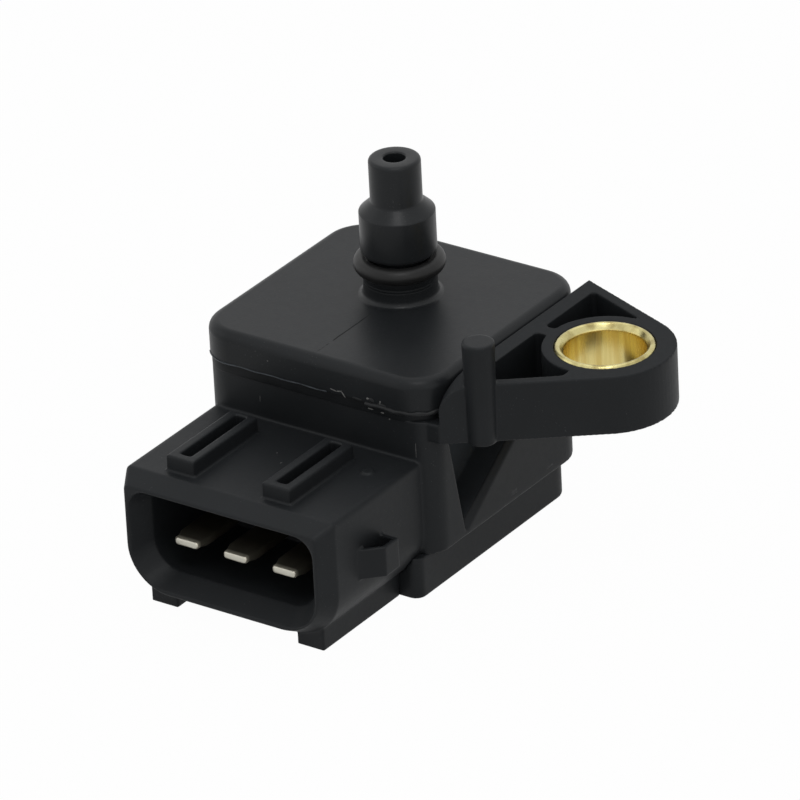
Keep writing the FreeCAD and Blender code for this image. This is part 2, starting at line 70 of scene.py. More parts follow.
# Places that the frame gives
LID_LOW, LID_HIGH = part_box("top_cover")
BEAD_LOW, BEAD_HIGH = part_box("top_adhesive")
RING_LOW, RING_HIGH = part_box("nipple_o_ring")
BUSH_LOW, BUSH_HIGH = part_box("flange_bushing")
BLADE_LOW, BLADE_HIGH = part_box("terminal_left")
NIPPLE_AXIS = middle("nipple_o_ring")
FLOOR_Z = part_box("base_cover")[0].z

# Sizes in millimetres that no box gives
LID_TOP = 0.25
LID_FOOT = -2.7
LID_CORNER = 3.6         # radius of its upright corners
LID_FILLET = 0.9         # radius of its upper edge
LID_LIP = 0.12           # rounding of its lower edge
LID_SKIRT = 2.0          # thickness of its edge
LID_DRAFT = 0.05         # lean of the skirt's inner side
LID_SHELL = 1.6          # thickness of its top over the hollow
BODY_SIDE = -8.35        # the housing's right side and its lower edge
BODY_FOOT = -16.0
BODY_EDGE = 0.6          # width of the lower edge that is rounded more
FLANGE_SIDE = -7.9       # the flange lies to the right of this
FLANGE_OVER = 0.5        # and below this
HOLLOW_X = (-11.85, -8.85)           # inside of the hollow in the housing's right side
HOLLOW_Y = (-11.5, 5.1)
HOLLOW_TOP = -5.35
FLOW_LINE = (-20.1, -12.8, -6.0)     # its X, and where it starts and ends in Y
PITCH = 5.0
BLADE_WIDTH = 2.8
BLADE_THICK = 0.8
TAIL_WIDTH = 1.6                     # the blade behind its shoulders
BEAD_STEP = 0.22                     # between the sections of a bead of glue
SQUEEZED_X = (-14.6, -13.4, -12.4)   # where the squeezed glue passes before the lid's corner
# Places in X of the bead that paints a highlight along the lid's lower edge
EDGE_HIGHLIGHT_X = (-28.9, -28.2, -27.4, -26.6, -25.8, -24.9, -24.0, -23.1, -22.2, -21.3, -20.4, -19.5, -18.6)

BLACK = 0.0145           # reflectance of the moulded plastic

# Camera in degrees and millimetres
AZIMUTH, ELEVATION, ROLL = 35.982, 27.529, 2.994
CAMERA_PLACE = (374.69, -545.57, 340.66)
LENS = 400.8
SENSOR = 36.0

# Light: strengths against plain white, and panels with metres and watts
AMBIENT = 0.30           # the world as light; it is 1 where it is seen
FLOOR_SEEN = 0.98
FLOOR_MIRRORED = 0.62
FLOOR_SIZE = 3.0
LIT_CENTRE = (-14, -8, -8)
WHITE = (1.0, 1.0, 1.0)
COOL = (0.95, 0.98, 1.0)
PANELS = (               # name, azimuth, elevation, distance, size, power and colour
    ("top_panel", 180, 80, 0.43, 0.42, 0.30, COOL),
    ("front_panel", 36, 62, 0.45, 0.14, 0.30, WHITE),
    ("right_panel", 62, 14, 0.50, 0.28, 0.09, WHITE),
    ("left_panel", 300, 26, 0.50, 0.30, 0.12, WHITE),
    ("camera_panel", 36, 30, 0.50, 0.40, 0.10, WHITE),
)


# Shader maths written as Python expressions
class Socket:
    """A number socket with the usual operators; each one adds its Math node."""

    def __init__(self, tree, socket):
        self.tree = tree
        self.socket = socket

    def math(self, operation, *others, clamp=False):
        node = self.tree.nodes.new("ShaderNodeMath")
        node.operation = operation
        node.use_clamp = clamp
        for slot, value in zip(node.inputs, (self,) + others):
            put(self.tree, slot, value)
        return Socket(self.tree, node.outputs[0])

    def __add__(self, other):
        return self.math("ADD", other)

    __radd__ = __add__

    def __mul__(self, other):
        return self.math("MULTIPLY", other)

    __rmul__ = __mul__

    def __sub__(self, other):
        return self.math("SUBTRACT", other)

    def __rsub__(self, other):
        return (self * -1).math("ADD", other)

    def __truediv__(self, other):
        return self.math("DIVIDE", other)

    def __rtruediv__(self, other):
        return self ** -1 * other

    def __pow__(self, other):
        return self.math("POWER", other)

    def clamped(self):
        return self.math("ADD", 0.0, clamp=True)

    def above(self, edge, width):
        """0 below the edge and 1 above it, with a soft step of that width."""
        return ((self - (edge - width / 2)) / width).clamped()


def put(tree, slot, value):
    """Links a socket or sets a constant."""
    if isinstance(value, Socket):
        tree.links.new(value.socket, slot)
    elif hasattr(value, "is_output"):
        tree.links.new(value, slot)
    elif value is not None:
        slot.default_value = value


class Finish:
    """One material: its node tree, with short ways to add nodes."""

    def __init__(self, name):
        self.material = bpy.data.materials.new(name)
        self.material.use_nodes = True
        self.tree = self.material.node_tree
        self.shader = self.tree.nodes["Principled BSDF"]
        self.place = self.node("TexCoord").outputs["Object"]

    def node(self, kind, settings=None, **values):
        made = self.tree.nodes.new("ShaderNode" + kind)
        for key, value in (settings or {}).items():
            setattr(made, key, value)
        for key, value in values.items():
            put(self.tree, made.inputs[key.replace("_", " ")], value)
        return made

    def axis(self, letter):
        parts = self.node("SeparateXYZ", Vector=self.place)
        return Socket(self.tree, parts.outputs[letter])

    def scaled(self, x, y, z):
        """Object coordinates with their own scale on each axis."""
        return self.node("Mapping", Vector=self.place, Scale=(x, y, z)).outputs[0]

    def noise(self, size, detail=2.0, rough=0.5, at=None):
        """Noise from 0 to 1 whose lumps are about this many millimetres across."""
        made = self.node("TexNoise", Vector=at or self.place, Scale=1 / mm(size), Detail=detail,
                         Roughness=rough)
        return Socket(self.tree, made.outputs[0])

    def blend(self, factor, first, second):
        """Colour that goes from first to second."""
        made = self.node("Mix", {"data_type": "RGBA"})
        for slot, value in zip((made.inputs[0], made.inputs[6], made.inputs[7]), (factor, first, second)):
            put(self.tree, slot, value)
        return made.outputs[2]

    def bump(self, height, depth, strength=1.0, below=None):
        """Normal from a height of 0 to 1 that stands for this many millimetres."""
        made = self.node("Bump", Height=height, Distance=mm(depth), Strength=strength)
        if below is not None:
            self.tree.links.new(below, made.inputs["Normal"])
        return made.outputs[0]

    def set(self, **values):
        for key, value in values.items():
            put(self.tree, self.shader.inputs[key.replace("_", " ")], value)
        return self.material


def grey(level, blue=0.0):
    """Grey that leans to blue by the given share."""
    return (level, level * (1 + blue / 2), level * (1 + blue), 1.0)


def moulded_plastic(name, level, rough, gloss=0.5, grain=0.12, grain_depth=0.006, matt_top=False,
                    flow_line=None):
    """Black moulded plastic: fine grain, faint flow clouds and a satin gloss.

    The flange's top may be more matt, and a flow line may run along Y at a place.
    """
    f = Finish(name)
    clouds = f.noise(6.0, 3.0)
    fine = f.noise(grain, 2.0)
    specks = f.noise(0.5, 4.0, 0.65)
    colour = f.blend(clouds, grey(level * 0.8, 0.22), grey(level * 1.25, 0.22))
    dust = f.noise(0.16, 1.0).above(edge=0.74, width=0.05) * f.noise(3.0, 2.0).above(edge=0.5, width=0.2)
    colour = f.blend((dust * 0.2).clamped(), colour, grey(0.16))
    roughness = rough + (clouds - 0.5) * 0.10 + (specks - 0.5) * 0.14
    if matt_top:
        normals = f.node("SeparateXYZ", Vector=f.node("NewGeometry").outputs["Normal"])
        upward = Socket(f.tree, normals.outputs["Z"])
        over = f.axis("Z").above(mm(FLANGE_OVER), width=mm(0.1))
        flange = f.axis("X").above(mm(FLANGE_SIDE), width=mm(0.3)) * (1 - over)
        roughness = roughness + flange * upward.above(edge=0.8, width=0.2) * 0.22
    normal = f.bump(fine, grain_depth)
    if flow_line is not None:
        x, start, end = mm(*flow_line)
        half_width, fade = mm(0.10), mm(1.5)
        wander = (f.noise(3.0) - 0.5) * mm(0.25)
        line = 1 - ((f.axis("X") + wander - x).math("ABSOLUTE") / half_width).clamped()
        along = f.axis("Y").above(start, fade) * (1 - f.axis("Y").above(end, fade))
        line = line * along * f.noise(1.5, 2.0).above(edge=0.42, width=0.1)
        colour = f.blend(line, colour, grey(level * 0.05))
        roughness = roughness + line * 0.5
    waves = f.bump(f.noise(4.5, 2.0), 0.05, 0.35, normal)
    return f.set(Base_Color=colour, Roughness=roughness, Specular_IOR_Level=gloss, Normal=waves)


def make_materials():
    m = {}
    m["housing"] = moulded_plastic("housing_plastic", BLACK, rough=0.47, gloss=0.16, matt_top=True)
    # The hollow under the flange is the housing's plastic painted about three times lighter: painted light
    # in its shade.
    m["hollow"] = moulded_plastic("hollow_plastic_painted_light", 0.045, rough=0.75, gloss=0.04, grain=0.2,
                                  grain_depth=0.01)
    m["lid"] = moulded_plastic("lid_plastic", BLACK, rough=0.38, gloss=0.17, grain=0.16,
                               grain_depth=0.005, flow_line=FLOW_LINE)
    m["base"] = moulded_plastic("base_plastic", BLACK, rough=0.46, gloss=0.15)
    m["nipple"] = moulded_plastic("nipple_plastic", BLACK, rough=0.33, gloss=0.22, grain=0.16,
                                  grain_depth=0.004)

    f = Finish("o_ring_rubber")
    m["rubber"] = f.set(Base_Color=f.blend(f.noise(1.2), grey(0.012), grey(0.018)), Specular_IOR_Level=0.24,
                        Roughness=0.34 + f.noise(0.5) * 0.12, Normal=f.bump(f.noise(0.1), 0.003))

    f = Finish("bushing_brass")
    lines = f.noise(0.5, 2.0, at=f.scaled(1, 1, 0.05))
    # Darker patches on the rim: partly tarnish, partly painted reflection, with the brighter brass between
    # them as painted glints.
    tarnish_and_glints = f.noise(1.4, 2.0).above(edge=0.56, width=0.2)
    rim = f.blend(tarnish_and_glints, (0.57, 0.51, 0.24, 1), (0.35, 0.29, 0.12, 1))
    # The bore is painted brighter and yellower than the rim: painted light bounced inside the bore.
    bore = f.blend(lines.above(edge=0.5, width=0.4), (0.84, 0.72, 0.31, 1), (0.70, 0.54, 0.18, 1))
    brass = f.blend(f.axis("Z").above(BUSH_HIGH.z - mm(0.5), mm(0.2)), bore, rim)
    m["brass"] = f.set(Base_Color=brass, Metallic=1.0, Roughness=0.20 + lines * 0.14,
                       Normal=f.bump(lines, 0.012, 0.6))

    f = Finish("terminal_tin")
    rub = f.noise(0.5, 3.0, at=f.scaled(1, 0.15, 1))
    # Behind its tip the tin is painted dark and brownish, darkest towards the back: painted shade inside the
    # socket.
    behind = f.axis("Y") - BLADE_LOW.y
    tin = f.blend(rub, (0.66, 0.60, 0.46, 1), (0.86, 0.82, 0.70, 1))
    shade_near_tip = f.blend(rub, (0.07, 0.065, 0.05, 1), (0.13, 0.12, 0.095, 1))
    socket_shade = f.blend(behind.above(mm(1.5), mm(2.5)), shade_near_tip, (0.028, 0.024, 0.017, 1))
    tin_and_socket_shade = f.blend(behind.above(mm(0.35), mm(0.4)), tin, socket_shade)
    shiny = f.blend(behind.above(mm(0.1), mm(0.16)), (0.60, 0.58, 0.50, 1), tin_and_socket_shade)
    m["tin"] = f.set(Base_Color=shiny, Metallic=0.75 - behind.above(mm(0.35), mm(0.4)) * 0.5,
                     Roughness=0.28 + rub * 0.16, Normal=f.bump(rub, 0.006))

    f = Finish("adhesive_cured")
    lumps = f.noise(1.6, 3.0)
    m["glue"] = f.set(Base_Color=f.blend(lumps, grey(0.008, 0.2), grey(0.016, 0.2)), Specular_IOR_Level=0.13,
                      Roughness=0.36 + lumps * 0.2, Normal=f.bump(lumps, 0.02))

    f = Finish("adhesive_wet")
    m["wet_glue"] = f.set(Base_Color=f.blend(f.noise(0.6), grey(0.010, 0.1), grey(0.028, 0.1)),
                          Specular_IOR_Level=0.18, Roughness=0.32, Normal=f.bump(f.noise(0.5), 0.03))

    f = Finish("adhesive_pale")
    m["pale_glue"] = f.set(Base_Color=f.blend(f.noise(0.25), (0.03, 0.03, 0.03, 1), (0.26, 0.26, 0.25, 1)),
                           Roughness=0.3, Normal=f.bump(f.noise(0.2), 0.02))

    # A thin bead on the lid's lower edge, lighter than the lid: a painted highlight along that edge.
    f = Finish("flash_edge")
    m["flash"] = f.set(Base_Color=f.blend(f.noise(0.9), grey(0.02, 0.3), grey(0.09, 0.3)),
                       Specular_IOR_Level=0.25, Roughness=0.3, Normal=f.bump(f.noise(0.2), 0.02))

    f = Finish("pale_dust")
    m["dust"] = f.set(Base_Color=f.blend(f.noise(0.1), grey(0.02), grey(0.15)), Roughness=0.7)

    plain = {
        "board_ceramic": ((0.78, 0.77, 0.72, 1), 0.5, 0.0),
        "inner_rubber": ((0.03, 0.03, 0.03, 1), 0.6, 0.0),
        "cell_glass": ((0.45, 0.50, 0.48, 1), 0.2, 0.0),
        "cell_silicon": ((0.12, 0.12, 0.14, 1), 0.2, 0.0),
        "gel": ((0.50, 0.52, 0.55, 1), 0.15, 0.0),
        "chip_body": ((0.02, 0.02, 0.02, 1), 0.5, 0.0),
        "chip_ceramic": ((0.45, 0.36, 0.24, 1), 0.4, 0.0),
        "lead_metal": ((0.75, 0.72, 0.66, 1), 0.3, 1.0),
    }
    for name, (colour, rough, metal) in plain.items():
        f = Finish(name + "_inside")
        mottled = f.blend(f.noise(0.8), colour, tuple(c * 0.8 for c in colour[:3]) + (1,))
        m[name] = f.set(Base_Color=mottled, Roughness=rough + f.noise(0.4) * 0.1, Metallic=metal)
    return m


finish = make_materials()


# Meshes
def add_object(name, data):
    made = bpy.data.objects.new(name, data)
    scene.collection.objects.link(made)
    return made


def face_outwards(mesh):
    work = bmesh.new()
    work.from_mesh(mesh)
    bmesh.ops.remove_doubles(work, verts=work.verts, dist=1e-7)
    bmesh.ops.recalc_face_normals(work, faces=work.faces)
    work.to_mesh(mesh)
    work.free()


def mesh_from(name, points, faces):
    mesh = bpy.data.meshes.new(name)
    mesh.from_pydata([tuple(p) for p in points], [], faces)
    face_outwards(mesh)
    return mesh


def smooth(mesh, limit=32):
    """Smooth shading, with edges sharper than the limit kept crisp."""
    mesh.shade_smooth()
    mesh.set_sharp_from_angle(angle=math.radians(limit))


def baked(source):
    """Plain mesh of an object with its modifiers worked out; the object is removed."""
    graph = bpy.context.evaluated_depsgraph_get()
    mesh = bpy.data.meshes.new_from_object(source.evaluated_get(graph))
    name = source.name
    bpy.data.objects.remove(source)
    mesh.name = name
    return add_object(name, mesh)


def dress(piece, material, slot, *stood_for):
    """Finish, body and the CAD nodes that a new piece stands for. The record slot is not used."""
    if material is not None:
        piece.data.materials.clear()
        piece.data.materials.append(material)
    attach(piece, "root")
    if stood_for:
        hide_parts(*stood_for)
    return piece


def relaxed(piece, passes, group=""):
    """Plain mesh of the piece, or of a group of its points, after smoothing passes."""
    relax = piece.modifiers.new("relax", "SMOOTH")
    relax.vertex_group = group
    relax.factor = 0.5
    relax.iterations = passes
    return baked(piece)


def moulded(name, node, voxel=0.10, passes=5, most=180000):
    """Copy of a CAD node with every edge rounded as in a mould: remeshed fine, smoothed, then thinned."""
    mesh = nodes[node].data.copy()
    work = bmesh.new()
    work.from_mesh(mesh)
    bmesh.ops.remove_doubles(work, verts=work.verts, dist=1e-6)
    work.to_mesh(mesh)
    work.free()
    mesh.materials.clear()
    source = add_object(name, mesh)
    remesh = source.modifiers.new("remesh", "REMESH")
    remesh.mode = "VOXEL"
    remesh.voxel_size = mm(voxel)
    remesh.adaptivity = 0
    piece = relaxed(source, passes)
    thin = piece.modifiers.new("thin", "DECIMATE")
    thin.ratio = min(1.0, most / (2 * len(piece.data.polygons)))
    piece = baked(piece)
    piece.data.shade_smooth()
    return piece


def make_housing():
    """Moulded housing; its lower edge is rounder, and the hollow in its side has a matt finish painted about
    three times lighter than the housing: painted light in the hollow's shade.
    """
    piece = moulded("housing_shell", "housing")
    top, side = mm(BODY_FOOT + BODY_EDGE), mm(BODY_SIDE - BODY_EDGE)
    edge = piece.vertex_groups.new(name="lower_edge")
    edge.add([v.index for v in piece.data.vertices if v.co.z < top and v.co.x > side], 1.0, "REPLACE")
    piece = relaxed(piece, passes=22, group=edge.name)
    mesh = piece.data
    mesh.shade_smooth()
    mesh.materials.append(finish["housing"])
    mesh.materials.append(finish["hollow"])
    # Faces inside the hollow get the lighter finish: painted light in the shade under the flange.
    low = mm(HOLLOW_X[0], HOLLOW_Y[0], BODY_FOOT)
    high = mm(HOLLOW_X[1], HOLLOW_Y[1], HOLLOW_TOP)
    for face in mesh.polygons:
        if all(a < c < b for a, c, b in zip(low, face.center, high)):
            face.material_index = 1
    return piece


# Geometry-nodes trees
class Shape:
    """A geometry-nodes tree with named inputs; it ends in Realize Instances and Set Material."""

    KINDS = {"geometry": "NodeSocketGeometry", "whole": "NodeSocketInt", "number": "NodeSocketFloat",
             "vector": "NodeSocketVector", "material": "NodeSocketMaterial"}

    def __init__(self, name, **inputs):
        self.tree = bpy.data.node_groups.new(name, "GeometryNodeTree")
        for label, kind in inputs.items():
            self.tree.interface.new_socket(label, in_out="INPUT", socket_type=self.KINDS[kind])
        self.tree.interface.new_socket("Piece", in_out="OUTPUT", socket_type=self.KINDS["geometry"])
        self.given = self.tree.nodes.new("NodeGroupInput").outputs

    def node(self, kind, settings=None, **values):
        made = self.tree.nodes.new(kind)
        for key, value in (settings or {}).items():
            setattr(made, key, value)
        for key, value in values.items():
            put(self.tree, made.inputs[key.replace("_", " ")], value)
        return made

    def number(self, source):
        return Socket(self.tree, source)

    def vectors(self, operation, first, second):
        """Vector maths; the second value may be a number for a scale."""
        made = self.node("ShaderNodeVectorMath", {"operation": operation})
        put(self.tree, made.inputs[0], first)
        put(self.tree, made.inputs["Scale" if operation == "SCALE" else 1], second)
        return made.outputs[0]

    def uneven(self, geometry):
        """Pushes the surface in and out by the inputs Wander and Lump."""
        place = self.node("GeometryNodeInputPosition").outputs[0]
        lumps = self.node("ShaderNodeTexNoise", Vector=place, Scale=1 / self.number(self.given["Lump"]),
                          Detail=2.0)
        shift = (self.number(lumps.outputs[0]) - 0.5) * self.number(self.given["Wander"])
        out = self.vectors("SCALE", self.node("GeometryNodeInputNormal").outputs[0], shift)
        return self.node("GeometryNodeSetPosition", Geometry=geometry, Offset=out).outputs[0]

    def end(self, geometry):
        real = self.node("GeometryNodeRealizeInstances", Geometry=geometry)
        paint = self.node("GeometryNodeSetMaterial", Geometry=real.outputs[0],
                          Material=self.given["Finish"])
        out = self.tree.nodes.new("NodeGroupOutput")
        self.tree.links.new(paint.outputs[0], out.inputs[0])
        return self.tree


def turning_tree():
    """Turns a profile of radius and height about an upright axis."""
    t = Shape("turned_piece", Profile="geometry", Steps="whole", Segments="whole", Axis="vector",
              Finish="material")
    segments = t.number(t.given["Segments"])
    around = segments + 1
    grid = t.node("GeometryNodeMeshGrid", Vertices_X=t.given["Steps"], Vertices_Y=around)
    index = t.number(t.node("GeometryNodeInputIndex").outputs[0])
    angle = index.math("MODULO", around) / segments * (2 * math.pi)
    profile = t.node("GeometryNodeSampleIndex", {"data_type": "FLOAT_VECTOR"}, Geometry=t.given["Profile"],
                     Value=t.node("GeometryNodeInputPosition").outputs[0],
                     Index=(index / around).math("FLOOR"))
    turn = t.node("ShaderNodeVectorRotate", {"rotation_type": "Z_AXIS"}, Vector=profile.outputs[0],
                  Angle=angle)
    place = t.node("GeometryNodeSetPosition", Geometry=grid.outputs["Mesh"],
                   Position=t.vectors("ADD", turn.outputs[0], t.given["Axis"]))
    weld = t.node("GeometryNodeMergeByDistance", Geometry=place.outputs[0], Distance=1e-6)
    return t.end(weld.outputs[0])


def bead_tree():
    """Bead of glue along a path, whose thickness wanders a little."""
    t = Shape("glue_bead", Path="geometry", Depth="number", Height="number", Rounding="number",
              Wander="number", Lump="number", Finish="material")
    line = t.node("GeometryNodeMeshToCurve", Mesh=t.given["Path"])
    even = t.node("GeometryNodeResampleCurve", {"mode": "LENGTH"}, Curve=line.outputs[0],
                  Length=mm(BEAD_STEP))
    upright = t.node("GeometryNodeSetCurveNormal", {"mode": "Z_UP"}, Curve=even.outputs[0])
    block = t.node("GeometryNodeCurvePrimitiveQuadrilateral", Width=t.given["Depth"],
                   Height=t.given["Height"])
    section = t.node("GeometryNodeFilletCurve", {"mode": "POLY"}, Curve=block.outputs[0], Count=4,
                     Limit_Radius=True, Radius=t.given["Rounding"])
    swept = t.node("GeometryNodeCurveToMesh", Curve=upright.outputs[0], Profile_Curve=section.outputs[0],
                   Fill_Caps=True)
    return t.end(t.uneven(swept.outputs[0]))


def lumps_tree():
    """Small uneven lumps on the path's points, each with its own size and turn."""
    t = Shape("small_lumps", Path="geometry", Wander="number", Lump="number", Finish="material")
    ball = t.node("GeometryNodeMeshIcoSphere", Radius=1.0, Subdivisions=3)
    size = t.node("GeometryNodeInputNamedAttribute", {"data_type": "FLOAT_VECTOR"}, Name="size")
    turn = t.node("GeometryNodeInputNamedAttribute", {"data_type": "FLOAT_VECTOR"}, Name="turn")
    balls = t.node("GeometryNodeInstanceOnPoints", Points=t.given["Path"], Instance=ball.outputs[0],
                   Scale=size.outputs[0], Rotation=turn.outputs[0])
    real = t.node("GeometryNodeRealizeInstances", Geometry=balls.outputs[0])
    return t.end(t.uneven(real.outputs[0]))


def row_tree():
    """Copies of a piece in a straight row."""
    t = Shape("straight_row", Piece="geometry", Count="whole", Step="vector", Finish="material")
    line = t.node("GeometryNodeMeshLine", {"mode": "OFFSET"}, Count=t.given["Count"],
                  Offset=t.given["Step"])
    copies = t.node("GeometryNodeInstanceOnPoints", Points=line.outputs[0], Instance=t.given["Piece"])
    return t.end(copies.outputs[0])


def worked(source, tree, **values):
    """Plain mesh of an object after a tree has run on it; inputs are set by their identifiers."""
    modifier = source.modifiers.new("tree", "NODES")
    modifier.node_group = tree
    for item in tree.interface.items_tree:
        if item.in_out == "INPUT" and item.name in values:
            modifier[item.identifier] = values[item.name]
    return baked(source)


TURNED = turning_tree()
BEAD = bead_tree()
LUMPS = lumps_tree()
ROW = row_tree()


# Turned pieces
def rounded_outline(points, closed=False, steps=4):
    """Radius and height pairs with some corners rounded: each point is (r, z, rounding)."""
    made = []
    count = len(points)
    most = 0.48              # a rounding takes at most this share of a side
    for i, (r, z, rounding) in enumerate(points):
        here = Vector((r, z))
        if not rounding or (not closed and i in (0, count - 1)):
            made.append(here)
            continue
        before = Vector(points[i - 1][:2]) - here
        after = Vector(points[(i + 1) % count][:2]) - here
        cut = min(rounding, before.length * most, after.length * most)
        a = here + before.normalized() * cut
        b = here + after.normalized() * cut
        for k in range(steps + 1):
            t = k / steps
            made.append(a * (1 - t) ** 2 + here * 2 * t * (1 - t) + b * t ** 2)
    if closed:
        made.append(made[0].copy())
    return made


def turned(name, outline, axis, material, segments=96, sharp=32):
    """A turned piece from a profile in millimetres."""
    profile = bpy.data.meshes.new(name + "_profile")
    profile.from_pydata([(r * MM, 0, z * MM) for r, z in outline], [], [])
    piece = worked(add_object(name, profile), TURNED, Steps=len(outline), Segments=segments,
                   Axis=(axis.x, axis.y, 0.0), Finish=material)
    face_outwards(piece.data)
    smooth(piece.data, sharp)
    return piece


def make_nipple():
    """Flared foot, neck with two faint rings, groove, stage, cone and tip with the bore."""
    top = LID_HIGH.z / MM
    foot = LID_TOP
    groove0 = RING_LOW.z / MM
    groove1 = RING_HIGH.z / MM
    bore, tip, stage, neck, groove, root = 0.94, 2.24, 3.27, 3.18, 2.47, 4.35
    bottom = top - 9
    cone0, cone1 = groove1 + 4.1, groove1 + 5.02
    stage_foot = groove1 + 0.25
    edge, bevel, score = 0.05, 0.06, 0.02
    flare, sunk = foot - 0.01, foot - 0.3
    rings = []
    for z in (1.86, 1.59):
        rings += [(neck, z + 0.08, 0), (neck - score, z + score, 0), (neck - score, z - score, 0),
                  (neck, z - 0.08, 0)]
    outline = [
        (0, bottom, 0), (bore, bottom, 0), (bore, top, 0.2), (tip, top, 0.36),
        (tip, cone1, 0.16), (stage - edge, cone0 + 0.04, edge), (stage, cone0 - 0.04, edge),
        (stage, stage_foot, 0.38), (groove, stage_foot, 0.08),
        (groove, groove0, 0.08), (neck - bevel, groove0, 0.03), (neck, groove0 - bevel, edge),
    ] + rings + [
        (neck, foot + 1.2, 0), (neck + score, flare, 0.56), (root, flare, 0), (root, sunk, 0), (0, sunk, 0),
    ]
    return turned("nipple", rounded_outline(outline, steps=5), NIPPLE_AXIS, finish["nipple"], segments=128)


def make_ring():
    """Round rubber ring."""
    r = (RING_HIGH.z - RING_LOW.z) / 2 / MM
    z = NIPPLE_AXIS.z / MM
    mid = (RING_HIGH.x - RING_LOW.x) / 2 / MM - r
    steps = 28
    outline = [(mid + r * math.cos(a), z + r * math.sin(a))
               for a in (2 * math.pi * k / steps for k in range(steps))]
    return turned("nipple_seal", outline + outline[:1], NIPPLE_AXIS, finish["rubber"], sharp=60)


def make_bushing():
    """Brass sleeve with rounded rims."""
    low, high = BUSH_LOW.z / MM, BUSH_HIGH.z / MM
    clearance = 0.01
    outer = (BUSH_HIGH.x - BUSH_LOW.x) / 2 / MM - clearance
    bore, mouth, mouth_depth = 3.5, 0.36, 0.5
    outline = [
        (bore, low, 0.15), (outer, low, 0.15), (outer, high - 0.25, 0.1), (outer - 0.2, high, 0.3),
        (bore + mouth, high, 0.2), (bore, high - mouth_depth, 0.15),
    ]
    centre = Vector((0, 0, 0))
    return turned("bushing", rounded_outline(outline, closed=True), centre, finish["brass"], segments=128)


# The lid, the seam below it and the blades
def rounded_ring(x0, x1, y0, y1, r, z, steps=10):
    """Points of a rounded rectangle, anticlockwise from its front right corner."""
    points = []
    corners = ((x1 - r, y0 + r, -90), (x1 - r, y1 - r, 0), (x0 + r, y1 - r, 90), (x0 + r, y0 + r, 180))
    for cx, cy, start in corners:
        for k in range(steps + 1):
            a = math.radians(start + 90 * k / steps)
            points.append(Vector((cx + r * math.cos(a), cy + r * math.sin(a), z)))
    return points


def skinned(name, rings):
    """Closed mesh over a list of rings with the same number of points, with a face at each end."""
    count = len(rings[0])
    last = (len(rings) - 1) * count
    faces = [(r + k, r + (k + 1) % count, r + count + (k + 1) % count, r + count + k)
             for r in range(0, last, count) for k in range(count)]
    faces.append(tuple(range(count)))
    faces.append(tuple(range(last, last + count)))
    return add_object(name, mesh_from(name, [p for ring in rings for p in ring], faces))


def make_lid():
    """Lid with a rounded upper edge, a thin crisp lower edge and a hollow underside."""
    top, bottom, fillet, corner = mm(LID_TOP), mm(LID_FOOT), mm(LID_FILLET), mm(LID_CORNER)
    lip, skirt = mm(LID_LIP), mm(LID_SKIRT)
    steps = 8
    profile = [(fillet * 1.02, top)]
    for k in range(1, steps + 1):
        a = math.radians(90 * k / steps)
        profile.append((fillet * (1 - math.sin(a)), top - fillet * (1 - math.cos(a))))
    profile += [(0.0, bottom + lip), (lip / 3, bottom + lip / 3), (lip, bottom),
                (skirt, bottom), (skirt + mm(LID_DRAFT), top - mm(LID_SHELL))]
    rings = [rounded_ring(LID_LOW.x + inset, LID_HIGH.x - inset, LID_LOW.y + inset, LID_HIGH.y - inset,
                          max(corner - inset, corner * 0.3), z) for inset, z in profile]
    lid = skinned("lid", rings)
    smooth(lid.data, limit=40)
    normals = lid.modifiers.new("normals", "WEIGHTED_NORMAL")
    normals.keep_sharp = True
    return baked(lid)


def glue_bead(name, points, closed, material, depth, height, rounding, wander, lump):
    """A bead along points; its section, rounding, wander and lumps are in millimetres."""
    count = len(points)
    links = [(k, (k + 1) % count) for k in range(count if closed else count - 1)]
    path = bpy.data.meshes.new(name + "_path")
    path.from_pydata([tuple(p) for p in points], links, [])
    piece = worked(add_object(name, path), BEAD, Depth=mm(depth), Height=mm(height),
                   Rounding=mm(rounding), Wander=mm(wander), Lump=mm(lump), Finish=material)
    face_outwards(piece.data)
    piece.data.shade_smooth()
    return piece


def make_seam():
    """Glue between lid and housing: it covers the housing's upper edge and ends under the lid's."""
    width, proud, corner, drop = 1.2, 0.04, 2.5, 0.52
    to_face = 0.2            # from the adhesive's outside to the housing's face
    inset = mm(width / 2 - proud - to_face)
    points = rounded_ring(BEAD_LOW.x + inset, BEAD_HIGH.x - inset, BEAD_LOW.y + inset, BEAD_HIGH.y - inset,
                          mm(corner), mm(LID_FOOT - drop), steps=14)
    return glue_bead("seam_glue", points, True, finish["glue"], depth=width, height=width, rounding=0.12,
                     wander=0.04, lump=2.4)


def lid_ring(height):
    """The lid's outline at a height in millimetres."""
    return rounded_ring(LID_LOW.x, LID_HIGH.x, LID_LOW.y, LID_HIGH.y, mm(LID_CORNER), mm(height), steps=14)


def make_squeezed_glue():
    """Glue that was pressed out under the lid's front right corner."""
    ring = lid_ring(LID_FOOT - 0.08)
    points = [Vector((mm(x), LID_LOW.y, ring[0].z)) for x in SQUEEZED_X] + ring[:13]
    points = [p + Vector((0, 0, mm(0.05) * math.sin(k * 1.7))) for k, p in enumerate(points)]
    return glue_bead("squeezed_glue", points, False, finish["wet_glue"], depth=0.34, height=0.40,
                     rounding=0.16, wander=0.30, lump=0.9)


def make_flash():
    """Thin bead on the lid's lower edge, from its front left corner to beyond the middle, coloured lighter
    than the lid: a painted highlight along that edge.
    """
    points = [Vector((mm(x), LID_LOW.y + mm(0.02), mm(LID_FOOT + 0.02 + 0.04 * math.sin(x * 2))))
              for x in EDGE_HIGHLIGHT_X]
    corner = lid_ring(LID_FOOT)[-9:]
    return glue_bead("lid_flash", corner + points, False, finish["flash"], depth=0.12, height=0.11,
                     rounding=0.045, wander=0.07, lump=0.9)


